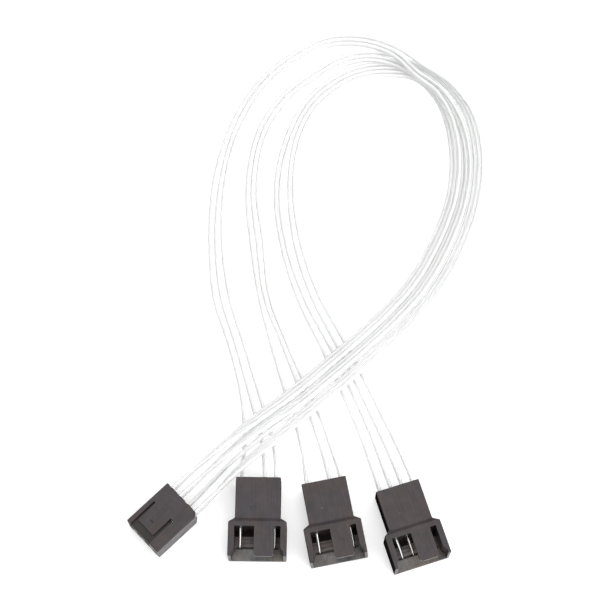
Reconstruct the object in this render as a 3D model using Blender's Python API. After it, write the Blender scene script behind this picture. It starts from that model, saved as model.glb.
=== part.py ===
"""Fan splitter cable: one four-way socket feeds three four-way plugs through ten loose wires.

Every size below is in millimetres; the meshes are built in metres. The world's origin is the
middle of the socket housing's underside, +Z is up and +Y runs away from the viewer.

Each connector is modelled in its own frame: the wires enter its rear face at y = 0, it points
along -Y, and it stands on z = 0. A Pose then lays it on the floor. The wires follow routes that
were chosen by hand: stations along the shared bundle, then stations for each plug's own group.
"""
import math
from collections import namedtuple

import bmesh
import bpy
import numpy as np
from mathutils import Matrix, Vector

MM = 0.001

# What the whole connector family shares
PITCH = 2.54
PINS = {1: "ground", 2: "supply", 3: "speed", 4: "control"}
MIDDLE_PIN = (1 + len(PINS)) / 2
END_WALL = 1.215                      # from an outer pin's centre to the body's side
BODY_W = (len(PINS) - 1) * PITCH + 2 * END_WALL
CHAMBER_W = 2.1                       # one pin's chamber, leaving a thin wall to the next
EDGE = 0.16                           # softened moulded edges
SHEET = 0.22                          # the contacts' folded metal
PIN_SIDE = 0.64
PIN_CHAMFER = 0.11
LANCE_W, LANCE_L, LANCE_CATCH = 0.7, 1.9, 0.4   # spring tongue that keeps a contact in
WINDOW_CLEAR = 0.15                   # around a lance, in the housing's window under it
STRIP_W, STRIP_LAP = 0.82, 0.7        # flat metal to the crimp, and how far it runs into the front
OVERCUT = 1.0                         # how far a cutter reaches past the face that it opens

# Wires
WIRE_D = 1.0
STACK_RISE = 1.1                      # three wires of one socket chamber lie above each other
WIRE_STEP = 5.0                       # length of one straight piece of a wire's tube
CRIMP_CLEAR = 0.075
CRIMP_WALL = 0.25
CRIMP_L = 2.2
CRIMP_BACK = 2.0                      # from the rear face to the crimp
WIRE_INSET = 3.9                      # from the rear face to the wire's end, inside the crimp

# Socket housing
SOCKET_L = 12.2
SOCKET_H = 5.7
SOCKET_CORNER = 0.9                   # cut corner behind pin 4
SOCKET_LIP = 0.6
SOCKET_MOUTH = (1.6, 2.0)
CONTACT_Z = 2.62
RECEPTACLE = (1.9, 2.4, 6.3)          # width, height, length of a contact's spring box
RECEPTACLE_CLEAR = 0.1
STACK_Z = 2.85                        # middle wire of a stack
STACK_CHAMBER_H = 4.0
STACK_CHAMBER_L = 5.1
RECESS_FROM, RECESS_TO = 1.03, 7.31   # keying recess, from the side of pin 1
RECESS_DEPTH = 0.95
RECESS_L = 1.9
SLOT_L = 7.2
SLOT_1, SLOT_2 = 0.5, 0.85            # widths of the slots beside the friction pad
PAD_DROP = 0.45
PAD_END = 0.4                         # from the top of the pad's slope to the slots' ends
GATE_MARK = (1.1, 0.55, 0.12)
GATE_BACK = 1.9                       # from the pad's front to the gate mark's centre
SCALLOP_R, SCALLOP_DEPTH = 1.5, 0.12
SOCKET_LANCE = 2.2                    # from the receptacle's front to its lance

# Plug housing
REAR_L = 9.25
REAR_FLOOR = 0.45
REAR_TOP = 5.95
SHOULDER_L = 0.95
SHROUD_W = 12.9
SHROUD_H = 6.55
SHROUD_L = 8.6                        # from the rear body to the open front
SHROUD_FLOOR = 0.75
ROOF_L = 1.95                         # closed stretch of the shroud behind its openings
PARTITION_L = 1.05
MATING_CLEAR = 0.075
TONGUE_X, TONGUE_W, TONGUE_T = 1.5, 4.4, 0.9
TONGUE_CORNER = 0.45
LEAD_IN, LEAD_IN_L, LEAD_IN_BACK = 0.67, 0.9, 1.05   # width, length, from the open front
GROOVE_BACK, GROOVE_W, GROOVE_DEPTH = 2.6, 0.5, 0.35
PIN_CHAMBER_H = 2.6
PIN_HOLE_CLEAR = 0.03
PIN_BACK = 2.35                       # from the shroud's front to the pin's tip
PIN_TAPER_L, PIN_TIP = 0.8, 0.3
PIN_Z = SHROUD_FLOOR + CONTACT_Z      # a socket standing on the shroud's floor meets the pins
TAB = (1.5, 1.1, 3.4)                 # flat body behind a pin
TAB_CLEAR = 0.05                      # in front of it, in its chamber
PIN_LANCE = 1.2                       # from the tab's front to its lance

# Where the connectors lie: rear face's middle, turn about Z, roll that lifts the +X side
Pose = namedtuple("Pose", "x y turn roll width")
SOCKET_TURN = -45.9
SOCKET_POSE = Pose(-math.sin(math.radians(SOCKET_TURN)) * SOCKET_L / 2,
                   math.cos(math.radians(SOCKET_TURN)) * SOCKET_L / 2, SOCKET_TURN, 0.0, BODY_W)
PLUG_POSES = {1: Pose(21.1, 9.1, -0.7, 0.0, SHROUD_W),
              2: Pose(35.9, 8.4, 10.6, 3.6, SHROUD_W),
              3: Pose(51.9, 7.2, 17.7, 0.0, SHROUD_W)}
PLUG_PINS = {1: (1, 2, 4), 2: (1, 2, 4), 3: (1, 2, 3, 4)}   # only the third fan reports its speed

# Routes. Headings are degrees anticlockwise from +X; lanes are distances to the right of travel.
# The bundle: plug 3's wires lie lowest, plug 2's next, plug 1's on top, leaning by "lean" to the
# sides and rising by "rise" from layer to layer. One lane for each of the socket's four pins.
Station = namedtuple("Station", "x y heading height lanes lean rise")
BUNDLE = (
    Station(8.9, 8.5, 43, 2.70, (-3.6, -1.2, 1.3, 3.7), 0.2, 1.05),
    Station(14.3, 13.2, 42, 4.75, (-3.3, -1.1, 1.3, 3.3), 0.5, 0.95),
    Station(21.4, 19.6, 41, 4.40, (-3.1, -0.9, 1.6, 3.2), 0.8, 0.70),
    Station(30.0, 26.8, 40, 3.20, (-3.0, -0.4, 1.6, 2.7), 0.9, 0.56),
    Station(38.6, 34.5, 42, 2.40, (-3.0, -0.4, 1.6, 2.7), 0.9, 0.56),
    Station(46.0, 41.4, 44, 2.00, (-2.9, -0.3, 1.6, 2.7), 0.9, 0.56),
    Station(52.8, 48.3, 48, 1.20, (-2.9, -0.3, 1.7, 2.8), 0.9, 0.56),
    Station(58.5, 54.9, 54, 0.65, (-3.0, -0.4, 1.6, 2.7), 0.9, 0.56),
    Station(65.5, 67.3, 66, 0.55, (-3.0, -0.4, 1.6, 2.8), 0.9, 0.56),
    Station(69.8, 79.9, 79, 0.55, (-2.9, -0.3, 1.6, 2.7), 0.9, 0.56),
    Station(70.9, 90.4, 93, 0.55, (-3.0, -0.4, 1.6, 2.7), 0.9, 0.56),
    Station(69.1, 101.3, 109, 0.55, (-2.7, -0.8, 1.2, 2.5), 0.7, 0.80),
    Station(65.5, 107.9, 126, 0.55, (-2.1, -0.7, 0.7, 2.0), 0.3, 1.05),
    Station(59.5, 113.2, 147, 0.55, (-1.68, -0.56, 0.56, 1.68), 0.0, 1.10),
)
# The groups: lanes are for the plug's own pins, in the order of PLUG_PINS.
Split = namedtuple("Split", "x y heading height lanes")
GROUPS = {
    1: (
        Split(53.8, 118.2, 153, 2.85, (-1.25, -0.10, 1.15)),
        Split(45.2, 121.6, 172, 2.20, (-1.15, 0.00, 1.15)),
        Split(36.0, 121.5, 192, 1.20, (-1.15, 0.00, 1.15)),
        Split(29.4, 118.0, 212, 0.75, (-1.15, 0.00, 1.15)),
        Split(21.6, 111.1, 229, 0.58, (-1.15, 0.00, 1.15)),
        Split(16.4, 102.9, 243, 0.55, (-1.15, 0.00, 1.15)),
        Split(12.7, 94.0, 251, 0.55, (-1.40, -0.35, 1.00)),
        Split(10.5, 84.5, 263, 0.55, (-1.70, -0.60, 0.95)),
        Split(9.8, 68.5, 272, 0.55, (-1.90, -0.35, 1.05)),
        Split(11.9, 53.2, 281, 0.55, (-1.90, 0.00, 1.65)),
        Split(15.2, 42.0, 286, 0.57, (-2.00, -0.15, 1.35)),
        Split(18.9, 28.5, 284, 0.74, (-2.35, -0.15, 1.90)),
        Split(20.9, 17.6, 272, 1.60, (-3.40, -0.90, 3.20)),
    ),
    2: (
        Split(52.6, 116.7, 160, 1.65, (-1.20, -0.10, 1.15)),
        Split(46.0, 117.6, 178, 1.45, (-1.15, 0.00, 1.15)),
        Split(39.5, 116.0, 200, 1.00, (-1.15, 0.00, 1.15)),
        Split(34.0, 112.7, 215, 0.66, (-1.15, 0.00, 1.15)),
        Split(26.3, 105.9, 229, 0.55, (-1.15, 0.00, 1.15)),
        Split(21.6, 98.3, 247, 0.55, (-1.15, 0.00, 1.15)),
        Split(19.2, 89.0, 261, 0.55, (-1.15, 0.00, 1.15)),
        Split(18.7, 79.5, 272, 0.55, (-1.20, 0.00, 1.25)),
        Split(20.0, 68.5, 277, 0.55, (-1.40, 0.05, 1.50)),
        Split(22.1, 53.2, 283, 0.55, (-1.15, 0.00, 1.20)),
        Split(25.7, 42.0, 290, 0.55, (-1.60, -0.50, 2.00)),
        Split(29.3, 32.3, 289, 0.55, (-2.00, -0.50, 2.80)),
        Split(32.7, 22.5, 287, 0.90, (-2.75, -0.65, 3.20)),
        Split(34.4, 16.3, 281, 1.90, (-2.95, -0.75, 3.55)),
    ),
    3: (
        Split(52.6, 114.3, 168, 0.55, (-1.65, -0.55, 0.55, 1.65)),
        Split(47.9, 114.1, 185, 0.55, (-1.65, -0.55, 0.55, 1.65)),
        Split(42.4, 112.5, 201, 0.55, (-1.65, -0.55, 0.55, 1.65)),
        Split(37.6, 109.4, 216, 0.55, (-1.65, -0.55, 0.55, 1.65)),
        Split(32.6, 104.2, 234, 0.55, (-1.65, -0.55, 0.55, 1.65)),
        Split(29.2, 97.3, 248, 0.55, (-1.65, -0.55, 0.55, 1.65)),
        Split(27.1, 89.0, 261, 0.55, (-1.95, -0.85, 0.85, 1.95)),
        Split(26.6, 79.5, 273, 0.55, (-2.15, -1.00, 1.20, 2.30)),
        Split(28.2, 68.5, 282, 0.55, (-2.00, -0.60, 1.45, 2.55)),
        Split(32.5, 53.2, 290, 0.55, (-2.50, -0.80, 1.00, 2.40)),
        Split(37.9, 42.0, 295, 0.55, (-2.80, -0.80, 0.80, 2.60)),
        Split(43.0, 31.0, 294, 0.55, (-3.00, -0.90, 0.90, 3.00)),
        Split(47.6, 20.0, 290, 0.90, (-3.30, -1.00, 1.00, 3.30)),
        Split(49.5, 14.6, 288, 1.90, (-3.60, -1.20, 1.20, 3.60)),
    ),
}

MATERIALS = {
    "housing": ((0.098, 0.088, 0.087), 0.42, 0.0),
    "contact": ((0.80, 0.79, 0.77), 0.28, 1.0),
    "wire": ((0.86, 0.87, 0.88), 0.22, 0.0),
}


def clear_scene():
    for old in list(bpy.data.objects):
        bpy.data.objects.remove(old, do_unlink=True)


def material(slot):
    """The slot's Principled material, made once."""
    found = bpy.data.materials.get(slot)
    if found:
        return found
    colour, roughness, metallic = MATERIALS[slot]
    made = bpy.data.materials.new(slot)
    made.use_nodes = True
    shader = made.node_tree.nodes["Principled BSDF"]
    shader.inputs["Base Color"].default_value = (*colour, 1.0)
    shader.inputs["Roughness"].default_value = roughness
    shader.inputs["Metallic"].default_value = metallic
    return made


def pose_matrix(pose):
    """From a connector's own frame to the world, in metres; a roll pivots on the lower -X edge."""
    edge = Vector((-pose.width / 2, 0, 0)) * MM
    roll = (Matrix.Translation(edge) @ Matrix.Rotation(-math.radians(pose.roll), 4, "Y")
            @ Matrix.Translation(-edge))
    turn = Matrix.Rotation(math.radians(pose.turn), 4, "Z")
    return Matrix.Translation(Vector((pose.x, pose.y, 0)) * MM) @ turn @ roll


# Solids

def mesh_object(name, bm, slot):
    """A bmesh in millimetres becomes an object in metres."""
    bmesh.ops.recalc_face_normals(bm, faces=bm.faces)
    bmesh.ops.scale(bm, vec=(MM, MM, MM), verts=bm.verts)
    mesh = bpy.data.meshes.new(name)
    bm.to_mesh(mesh)
    bm.free()
    made = bpy.data.objects.new(name, mesh)
    made.data.materials.append(material(slot))
    bpy.context.collection.objects.link(made)
    return made


def loft(rings):
    """Closed bmesh through rings of matching points, capped at both ends."""
    bm = bmesh.new()
    loops = [[bm.verts.new(point) for point in ring] for ring in rings]
    count = len(rings[0])
    for near, far in zip(loops, loops[1:]):
        for i in range(count):
            j = (i + 1) % count
            bm.faces.new((near[i], near[j], far[j], far[i]))
    bm.faces.new(loops[0])
    bm.faces.new(loops[-1])
    return bm


def prism_up(outline, low, high):
    """Plan outline of (x, y) points raised from low to high."""
    return loft([[(x, y, z) for x, y in outline] for z in (low, high)])


def prism_along(section, y_near, y_far):
    """Cross-section of (x, z) points carried along Y."""
    return loft([[(x, y, z) for x, z in section] for y in (y_near, y_far)])


def prism_across(profile, x_near, x_far):
    """Side profile of (y, z) points carried along X."""
    return loft([[(x, y, z) for y, z in profile] for x in (x_near, x_far)])


def rectangle(a_low, a_high, b_low, b_high):
    return [(a_low, b_low), (a_high, b_low), (a_high, b_high), (a_low, b_high)]


def box(x_low, x_high, y_low, y_high, z_low, z_high):
    return prism_up(rectangle(x_low, x_high, y_low, y_high), z_low, z_high)


def capsule(cx, cz, radius, half_rise, arc_steps=6):
    """Upright slot shape: two half circles whose centres are half_rise above and below."""
    points = []
    for side, start in ((1, 0.0), (-1, math.pi)):
        for step in range(arc_steps + 1):
            angle = start + math.pi * step / arc_steps
            points.append((cx + radius * math.cos(angle),
                           cz + side * half_rise + radius * math.sin(angle)))
    if half_rise == 0:
        points = points[:arc_steps] + points[arc_steps + 1:-1]
    return points


def circle(cx, cy, radius, steps, stretch=1.0):
    return [(cx + radius * stretch * math.cos(2 * math.pi * i / steps),
             cy + radius * math.sin(2 * math.pi * i / steps)) for i in range(steps)]


def soften(bm, width=EDGE, segments=2):
    """Rounds every sharp edge of a convex or stepped body."""
    sharp = [e for e in bm.edges if e.calc_face_angle(0.0) > math.radians(20)]
    bmesh.ops.bevel(bm, geom=sharp, offset=width, segments=segments, profile=0.5, affect="EDGES",
                    clamp_overlap=True)
    return bm


def combine(target, tools, operation):
    """Applies an exact Boolean with each tool in turn and removes the tools."""
    for bm in tools:
        tool = mesh_object("tool", bm, "housing")
        change = target.modifiers.new(operation, "BOOLEAN")
        change.operation = operation
        change.solver = "EXACT"
        change.object = tool
        evaluated = target.evaluated_get(bpy.context.evaluated_depsgraph_get())
        result = bpy.data.meshes.new_from_object(evaluated)
        target.modifiers.clear()
        old, target.data = target.data, result
        bpy.data.meshes.remove(old)
        bpy.data.objects.remove(tool, do_unlink=True)
    return target


def cut(target, *tools):
    return combine(target, tools, "DIFFERENCE")


def add(target, *tools):
    return combine(target, tools, "UNION")


# Places inside the connectors

def socket_x(pin):
    """The socket faces the plugs, so its pin 1 is on the -X side."""
    return (pin - MIDDLE_PIN) * PITCH


def plug_x(pin):
    return (MIDDLE_PIN - pin) * PITCH


def receptacle_front():
    return -SOCKET_L + SOCKET_LIP + RECEPTACLE_CLEAR / 2


def receptacle_floor():
    return CONTACT_Z - RECEPTACLE[1] / 2 - RECEPTACLE_CLEAR


def tab_front():
    return -REAR_L - ROOF_L + PARTITION_L + TAB_CLEAR


def pin_chamber_floor():
    return PIN_Z - PIN_CHAMBER_H / 2


def lance(x, start, top, chamber_floor):
    """Wedge under a contact: rooted in the sheet at its front, its rear end free in a window."""
    end, low = start + LANCE_L, chamber_floor - LANCE_CATCH
    return prism_across([(start, top), (end, low), (end, top)], x - LANCE_W / 2, x + LANCE_W / 2)


def window(x, start, chamber_floor):
    """Cutter for the window that a lance catches in, open at the housing's underside."""
    half = LANCE_W / 2 + WINDOW_CLEAR
    return box(x - half, x + half, start - WINDOW_CLEAR, start + LANCE_L + WINDOW_CLEAR,
               -OVERCUT, chamber_floor + WINDOW_CLEAR)


# Pieces

def socket_housing():
    """Block with four stepped chambers, a keying recess, a friction pad and a cut corner."""
    half = BODY_W / 2
    outline = [(-half, 0), (half - SOCKET_CORNER, 0), (half, -SOCKET_CORNER),
               (half, -SOCKET_L), (-half, -SOCKET_L)]
    housing = mesh_object("socket_housing", soften(prism_up(outline, 0, SOCKET_H)), "housing")

    left, right = -half + RECESS_FROM, -half + RECESS_TO
    pad_front, slot_end = -SOCKET_L + RECESS_L, -SOCKET_L + SLOT_L
    front, above = -SOCKET_L - OVERCUT, SOCKET_H + OVERCUT
    recess = [(left, front), (right, front), (right, slot_end), (right - SLOT_2, slot_end),
              (right - SLOT_2, pad_front), (left + SLOT_1, pad_front),
              (left + SLOT_1, slot_end), (left, slot_end)]
    slope_end = slot_end - PAD_END
    slope = PAD_DROP / (slope_end - pad_front)
    wedge = [(front, SOCKET_H - PAD_DROP + (front - pad_front) * slope), (slope_end, SOCKET_H),
             (slope_end, above), (front, above)]
    mark_x = (left + SLOT_1 + right - SLOT_2) / 2
    mark_z = SOCKET_H - PAD_DROP + GATE_BACK * slope - GATE_MARK[2]
    mark = circle(mark_x, pad_front + GATE_BACK, GATE_MARK[1] / 2, 12, GATE_MARK[0] / GATE_MARK[1])
    cut(housing,
        prism_up(recess, SOCKET_H - RECESS_DEPTH, above),
        prism_across(wedge, left + SLOT_1 / 2, right - SLOT_2 / 2),
        prism_up(mark, mark_z, above))

    receptacle_w, receptacle_h, _ = RECEPTACLE
    floor, ceiling = receptacle_floor(), CONTACT_Z + receptacle_h / 2 + RECEPTACLE_CLEAR
    mouth_w, mouth_h = SOCKET_MOUTH
    for pin in PINS:
        x = socket_x(pin)
        cut(housing,
            box(x - CHAMBER_W / 2, x + CHAMBER_W / 2, -STACK_CHAMBER_L, OVERCUT,
                STACK_Z - STACK_CHAMBER_H / 2, STACK_Z + STACK_CHAMBER_H / 2),
            box(x - receptacle_w / 2 - RECEPTACLE_CLEAR, x + receptacle_w / 2 + RECEPTACLE_CLEAR,
                -SOCKET_L + SOCKET_LIP, -STACK_CHAMBER_L + OVERCUT, floor, ceiling),
            box(x - mouth_w / 2, x + mouth_w / 2, front, -SOCKET_L + SOCKET_LIP + OVERCUT,
                CONTACT_Z - mouth_h / 2, CONTACT_Z + mouth_h / 2),
            window(x, receptacle_front() + SOCKET_LANCE, floor),
            prism_up(circle(x, SCALLOP_R - SCALLOP_DEPTH, SCALLOP_R, 20), STACK_Z, above))
    return housing


def crimp(x, z, half_rise):
    """Ring around the wires' ends: the ring, the cutter for its bore, and its lowest height."""
    bore = WIRE_D / 2 + CRIMP_CLEAR
    outer = capsule(x, z, bore + CRIMP_WALL, half_rise)
    inner = capsule(x, z, bore, half_rise)
    ring = prism_along(outer, -CRIMP_BACK - CRIMP_L, -CRIMP_BACK)
    hole = prism_along(inner, -CRIMP_BACK - CRIMP_L - CRIMP_CLEAR, -CRIMP_BACK + OVERCUT)
    return ring, hole, z - half_rise - bore - CRIMP_WALL


def strip_profile(start, bend, low, ring_low):
    """Side view of the flat metal between a contact's front and its crimp, bent once."""
    ring_start, end = -CRIMP_BACK - CRIMP_L - 0.1, -CRIMP_BACK - 0.2
    floor = [(start, low), (bend, low), (ring_start, ring_low), (end, ring_low)]
    return floor + [(y, z + SHEET) for y, z in reversed(floor)]


def socket_contact(pin):
    """Folded box that grips a pin, with a strip back to a crimp around three wires."""
    x = socket_x(pin)
    width, height, length = RECEPTACLE
    front = receptacle_front()
    low, high = CONTACT_Z - height / 2, CONTACT_Z + height / 2
    wires = sum(pin in pins for pins in PLUG_PINS.values())
    half_rise = STACK_RISE if wires > 1 else 0.0
    middle = STACK_Z if wires > 1 else STACK_Z - STACK_RISE
    ring, hole, ring_low = crimp(x, middle, half_rise)
    contact = mesh_object(f"socket_{PINS[pin]}_contact",
                          box(x - width / 2, x + width / 2, front, front + length, low, high),
                          "contact")
    cut(contact, box(x - width / 2 + SHEET, x + width / 2 - SHEET, front - OVERCUT,
                     front + length + OVERCUT, low + SHEET, high - SHEET))
    strip = strip_profile(front + length - STRIP_LAP, -STACK_CHAMBER_L + 0.1, low + 0.02, ring_low)
    add(contact,
        prism_across(strip, x - STRIP_W / 2, x + STRIP_W / 2), ring,
        lance(x, front + SOCKET_LANCE, low + SHEET / 2, receptacle_floor()))
    return cut(contact, hole)


def plug_housing(number):
    """Rear block with four chambers, then a wider shroud with a keying tongue in its roof."""
    half, wide = BODY_W / 2, SHROUD_W / 2
    shoulder, front = -REAR_L - SHOULDER_L, -REAR_L - SHROUD_L
    sections = ((0, half, REAR_FLOOR, REAR_TOP), (-REAR_L, half, REAR_FLOOR, REAR_TOP),
                (shoulder, wide, 0, SHROUD_H), (front, wide, 0, SHROUD_H))
    rings = [[(x, y, z) for x, z in rectangle(-w, w, low, high)] for y, w, low, high in sections]
    housing = mesh_object(f"plug_{number}_housing", soften(loft(rings)), "housing")

    inner = half + MATING_CLEAR
    back = -REAR_L - ROOF_L
    tongue_low = SHROUD_H - TONGUE_T
    tongue_left, tongue_right = TONGUE_X - TONGUE_W / 2, TONGUE_X + TONGUE_W / 2
    lead_end = front + LEAD_IN_BACK
    mouth = [(-inner, back), (-inner, lead_end + LEAD_IN_L), (-inner - LEAD_IN, lead_end),
             (-inner - LEAD_IN, front - 1), (inner + LEAD_IN, front - 1),
             (inner + LEAD_IN, lead_end), (inner, lead_end + LEAD_IN_L), (inner, back)]
    around_tongue = (mouth[:3] + [(-inner - LEAD_IN, front - 0.5)]
                     + [(tongue_left + TONGUE_CORNER, front - 0.5),
                        (tongue_left + TONGUE_CORNER, front), (tongue_left, front + TONGUE_CORNER),
                        (tongue_left, back)])
    beside_tongue = ([(tongue_right, back), (tongue_right, front + TONGUE_CORNER),
                      (tongue_right - TONGUE_CORNER, front),
                      (tongue_right - TONGUE_CORNER, front - 0.5)]
                     + [(inner + LEAD_IN, front - 0.5)] + mouth[5:])
    cut(housing,
        prism_up(mouth, SHROUD_FLOOR, tongue_low),
        prism_up(around_tongue, tongue_low - 0.3, SHROUD_H + 1),
        prism_up(beside_tongue, tongue_low - 0.3, SHROUD_H + 1),
        box(-inner + 0.3, inner - 0.3, front + GROOVE_BACK, front + GROOVE_BACK + GROOVE_W,
            SHROUD_FLOOR - GROOVE_DEPTH, SHROUD_FLOOR + 0.5))
    hole = PIN_SIDE / 2 + PIN_HOLE_CLEAR
    floor = pin_chamber_floor()
    for pin in PINS:
        x = plug_x(pin)
        cut(housing,
            box(x - CHAMBER_W / 2, x + CHAMBER_W / 2, back + PARTITION_L, OVERCUT,
                floor, floor + PIN_CHAMBER_H),
            box(x - hole, x + hole, back - OVERCUT, back + PARTITION_L + OVERCUT,
                PIN_Z - hole, PIN_Z + hole),
            window(x, tab_front() + PIN_LANCE, floor))
    return housing


def pin_section(x, y, half):
    """Square outline with cut corners around a pin's axis."""
    flat = half * (1 - PIN_CHAMFER / (PIN_SIDE / 2))
    return [(x + across, y, PIN_Z + up) for across, up in (
        (-flat, -half), (flat, -half), (half, -flat), (half, flat),
        (flat, half), (-flat, half), (-half, flat), (-half, -flat))]


def plug_pin(number, pin):
    """Square pin with a tapered tip, a flat tab in the chamber and a crimp around one wire."""
    x = plug_x(pin)
    side = PIN_SIDE / 2
    tip_y = -REAR_L - SHROUD_L + PIN_BACK
    tab_w, tab_h, tab_l = TAB
    front, low = tab_front(), PIN_Z - tab_h / 2
    ring, hole, ring_low = crimp(x, PIN_Z, 0.0)
    blade = loft([pin_section(x, tip_y, PIN_TIP / 2), pin_section(x, tip_y + PIN_TAPER_L, side),
                  pin_section(x, front + STRIP_LAP, side)])
    piece = mesh_object(f"plug_{number}_{PINS[pin]}_pin", blade, "contact")
    strip = strip_profile(front + tab_l - STRIP_LAP, front + tab_l, low + 0.02, ring_low)
    add(piece,
        box(x - tab_w / 2, x + tab_w / 2, front, front + tab_l, low, PIN_Z + tab_h / 2),
        prism_across(strip, x - STRIP_W / 2, x + STRIP_W / 2), ring,
        lance(x, front + PIN_LANCE, low + SHEET / 2, pin_chamber_floor()))
    return cut(piece, hole)


# Wires

def beside(x, y, heading, across, height):
    """Point that lies across to the right of a heading."""
    angle = math.radians(heading)
    return Vector((x + across * math.sin(angle), y - across * math.cos(angle), height))


def bundle_point(station, plug, pin):
    layer = {3: 0, 2: 1, 1: 2}[plug]
    across = station.lanes[pin - 1] + (layer - 1) * station.lean
    return beside(station.x, station.y, station.heading, across,
                  station.height + layer * station.rise)


def socket_wire_z(plug, pin):
    layer = {3: 0, 2: 1, 1: 2}[plug]
    return STACK_Z + (layer - 1) * STACK_RISE


def route(plug, pin):
    """The hand-chosen points of one wire, in millimetres, from the socket to the plug."""
    socket, target = pose_matrix(SOCKET_POSE), pose_matrix(PLUG_POSES[plug])
    z = socket_wire_z(plug, pin)
    points = [socket @ (Vector((socket_x(pin), y, z)) * MM) / MM
              for y in (-WIRE_INSET, -CRIMP_BACK, 0.5)]
    points += [bundle_point(station, plug, pin) for station in BUNDLE]
    points += [beside(s.x, s.y, s.heading, s.lanes[PLUG_PINS[plug].index(pin)], s.height)
               for s in GROUPS[plug]]
    points += [target @ (Vector((plug_x(pin), y, PIN_Z)) * MM) / MM
               for y in (0.5, -CRIMP_BACK, -WIRE_INSET)]
    return points


def piece_counts(plug):
    """Straight pieces between route points, counted on the middle line so that wires match."""
    ends = [(SOCKET_POSE.x, SOCKET_POSE.y)] * 3
    middle = [(s.x, s.y) for s in (*BUNDLE, *GROUPS[plug])]
    plug_end = [(PLUG_POSES[plug].x, PLUG_POSES[plug].y)] * 3
    line = [Vector(p) for p in (*ends, *middle, *plug_end)]
    return [max(1, round((b - a).length / WIRE_STEP)) for a, b in zip(line, line[1:])]


def smooth_line(points, counts):
    """Cubic curve through the points, with counts[i] even steps in the i-th gap."""
    points = np.array([tuple(p) for p in points])
    gaps = np.linalg.norm(np.diff(points, axis=0), axis=1)
    slopes = np.diff(points, axis=0) / gaps[:, None]
    tangents = np.empty_like(points)
    tangents[0], tangents[-1] = slopes[0], slopes[-1]
    before, after = gaps[:-1, None], gaps[1:, None]
    tangents[1:-1] = (slopes[:-1] * after + slopes[1:] * before) / (before + after)
    line = []
    for i, count in enumerate(counts):
        for t in np.arange(count) / count:
            line.append((2 * t**3 - 3 * t**2 + 1) * points[i] + (t**3 - 2 * t**2 + t) * gaps[i]
                        * tangents[i] + (3 * t**2 - 2 * t**3) * points[i + 1]
                        + (t**3 - t**2) * gaps[i] * tangents[i + 1])
    return line + [points[-1]]


def wire(plug, pin):
    """A plain tube along the route, as a curve with a bevel and filled ends made into a mesh."""
    name = f"wire_{plug}_{PINS[pin]}"
    line = smooth_line(route(plug, pin), piece_counts(plug))
    curve = bpy.data.curves.new(name, "CURVE")
    curve.dimensions = "3D"
    curve.bevel_depth = WIRE_D / 2 * MM
    curve.bevel_resolution = 2
    curve.use_fill_caps = True
    spline = curve.splines.new("POLY")
    spline.points.add(len(line) - 1)
    for point, place in zip(spline.points, line):
        point.co = (*(place * MM), 1.0)
    tube = bpy.data.objects.new(name, curve)
    tube.data.materials.append(material("wire"))
    bpy.context.collection.objects.link(tube)
    return tube


def main():
    clear_scene()
    pieces = [socket_housing()] + [socket_contact(pin) for pin in PINS]
    for piece in pieces:
        piece.matrix_world = pose_matrix(SOCKET_POSE)
    for number, pins in PLUG_PINS.items():
        pieces = [plug_housing(number)] + [plug_pin(number, pin) for pin in pins]
        for piece in pieces:
            piece.matrix_world = pose_matrix(PLUG_POSES[number])
        for pin in pins:
            wire(number, pin)


if __name__ == "__main__":
    main()
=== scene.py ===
"""Fan splitter cable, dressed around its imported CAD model.

One four-way socket feeds three shrouded plugs through ten clear wires over twisted silvery strands.
Sizes in the lists below are millimetres, as in the CAD source; every mesh is made in metres.
"""
import math
from collections import namedtuple

import bmesh
import bpy
import numpy as np
from bpy.props import FloatProperty, FloatVectorProperty, IntProperty, PointerProperty
from mathutils import Matrix, Vector


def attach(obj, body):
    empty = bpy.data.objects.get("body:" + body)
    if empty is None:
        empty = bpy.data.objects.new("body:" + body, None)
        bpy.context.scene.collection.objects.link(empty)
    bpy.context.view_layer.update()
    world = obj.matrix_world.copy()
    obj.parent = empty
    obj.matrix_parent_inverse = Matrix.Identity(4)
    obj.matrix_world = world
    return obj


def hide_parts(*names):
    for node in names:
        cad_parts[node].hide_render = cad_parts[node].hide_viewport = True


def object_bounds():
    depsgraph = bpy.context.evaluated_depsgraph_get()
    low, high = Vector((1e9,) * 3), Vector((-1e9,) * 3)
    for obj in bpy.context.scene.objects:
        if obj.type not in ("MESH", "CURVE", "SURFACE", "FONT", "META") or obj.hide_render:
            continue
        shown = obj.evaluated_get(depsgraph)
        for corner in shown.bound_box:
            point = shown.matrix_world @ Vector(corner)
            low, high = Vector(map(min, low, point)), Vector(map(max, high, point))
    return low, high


bl_info = {
    "name": "Fan Splitter Cable",
    "version": (1, 0, 0),
    "blender": (4, 5, 0),
    "location": "View3D > Sidebar > Splitter Cable",
    "description": "Dresses a one-to-three fan splitter cable: housings, contacts, clear wires",
    "category": "Object",
}

MM = 0.001
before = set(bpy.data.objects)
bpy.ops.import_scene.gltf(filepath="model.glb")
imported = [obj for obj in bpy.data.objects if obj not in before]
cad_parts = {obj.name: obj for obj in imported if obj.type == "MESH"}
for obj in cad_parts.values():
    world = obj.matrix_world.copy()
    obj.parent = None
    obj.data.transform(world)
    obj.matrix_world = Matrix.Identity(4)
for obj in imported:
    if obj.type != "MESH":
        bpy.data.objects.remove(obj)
cad_low, cad_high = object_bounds()

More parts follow.
